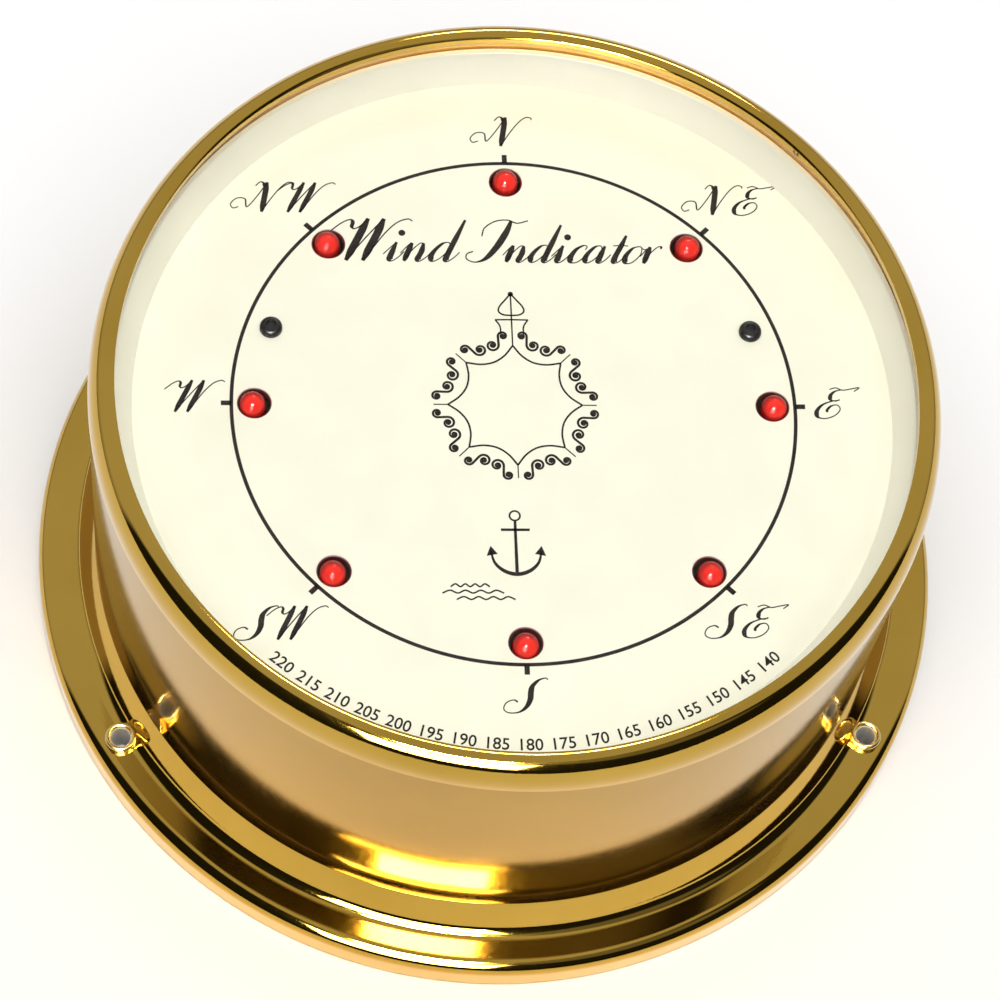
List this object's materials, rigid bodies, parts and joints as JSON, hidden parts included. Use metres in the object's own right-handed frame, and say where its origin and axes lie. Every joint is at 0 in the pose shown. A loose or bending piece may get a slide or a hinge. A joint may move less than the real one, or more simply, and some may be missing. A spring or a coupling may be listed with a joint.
{
  "type": "wind direction indicator",
  "caption": "Round brass wall instrument for a boat: a cream compass dial with red lamps at the compass points, under glass, in a straight case on a flat screw-down flange",
  "frame": {"origin": "centre of the back plane, on the skirt's lower edge", "axes": "+Z is the dial's outward normal, +Y points to the dial's north, +X to its east"},
  "size_m": [0.1774, 0.1774, 0.0773],
  "materials": {
    "polished_brass": "polished",
    "inner_brass": "machined",
    "cover_glass": "clear",
    "gasket_rubber": "matt",
    "cream_dial": "satin",
    "red_led": "gloss",
    "black_screw": "satin",
    "steel_fastener": "zinc plated",
    "circuit_board": "solder mask",
    "chip_plastic": "matt",
    "network_epoxy": "dipped",
    "capacitor_sleeve": "sleeved",
    "terminal_plastic": "moulded",
    "back_sheet": "plain sheet",
    "grommet_rubber": "matt"
  },
  "bodies": {
    "case": {"drum_case": "polished_brass", "base_flange": "polished_brass", "mount_eyelet_north": "polished_brass", "mount_eyelet_southwest": "polished_brass", "mount_eyelet_southeast": "polished_brass", "dial_seat_ring": "inner_brass", "dial_standoff_west": "inner_brass", "dial_standoff_east": "inner_brass", "back_lug_1": "inner_brass", "back_lug_2": "inner_brass", "back_lug_3": "inner_brass", "dial_plate": "cream_dial", "dial_spacer_ring": "cream_dial", "led_north": "red_led", "led_northeast": "red_led", "led_east": "red_led", "led_southeast": "red_led", "led_south": "red_led", "led_southwest": "red_led", "led_west": "red_led", "led_northwest": "red_led", "dial_screw_west": "black_screw", "dial_screw_east": "black_screw", "board_nut_west": "steel_fastener", "board_nut_east": "steel_fastener", "back_screw_1": "steel_fastener", "back_screw_2": "steel_fastener", "back_screw_3": "steel_fastener", "led_board": "circuit_board", "decoder_chip": "chip_plastic", "driver_chip": "chip_plastic", "voltage_regulator": "chip_plastic", "resistor_network": "network_epoxy", "filter_capacitor": "capacitor_sleeve", "terminal_block": "terminal_plastic", "back_plate": "back_sheet", "cable_grommet": "grommet_rubber"},
    "bezel": {"bezel_ring": "polished_brass", "glass": "cover_glass", "glass_gasket": "gasket_rubber"},
    "clamp_1": {"terminal_screw_1": "steel_fastener"},
    "clamp_2": {"terminal_screw_2": "steel_fastener"},
    "clamp_3": {"terminal_screw_3": "steel_fastener"},
    "clamp_4": {"terminal_screw_4": "steel_fastener"}
  },
  "joints": [
    {"name": "bezel_lift", "type": "slide", "parent": "case", "child": "bezel", "axis": [0, 0, 1], "range_m": [0, 0.03]},
    {"name": "clamp_turn_1", "type": "hinge", "parent": "case", "child": "clamp_1", "pos_m": [-0.00762, -0.033, 0.0495], "axis": [0, 0, -1], "range_deg": [0, 1080]},
    {"name": "clamp_turn_2", "type": "hinge", "parent": "case", "child": "clamp_2", "pos_m": [-0.00254, -0.033, 0.0495], "axis": [0, 0, -1], "range_deg": [0, 1080]},
    {"name": "clamp_turn_3", "type": "hinge", "parent": "case", "child": "clamp_3", "pos_m": [0.00254, -0.033, 0.0495], "axis": [0, 0, -1], "range_deg": [0, 1080]},
    {"name": "clamp_turn_4", "type": "hinge", "parent": "case", "child": "clamp_4", "pos_m": [0.00762, -0.033, 0.0495], "axis": [0, 0, -1], "range_deg": [0, 1080]}
  ]
}
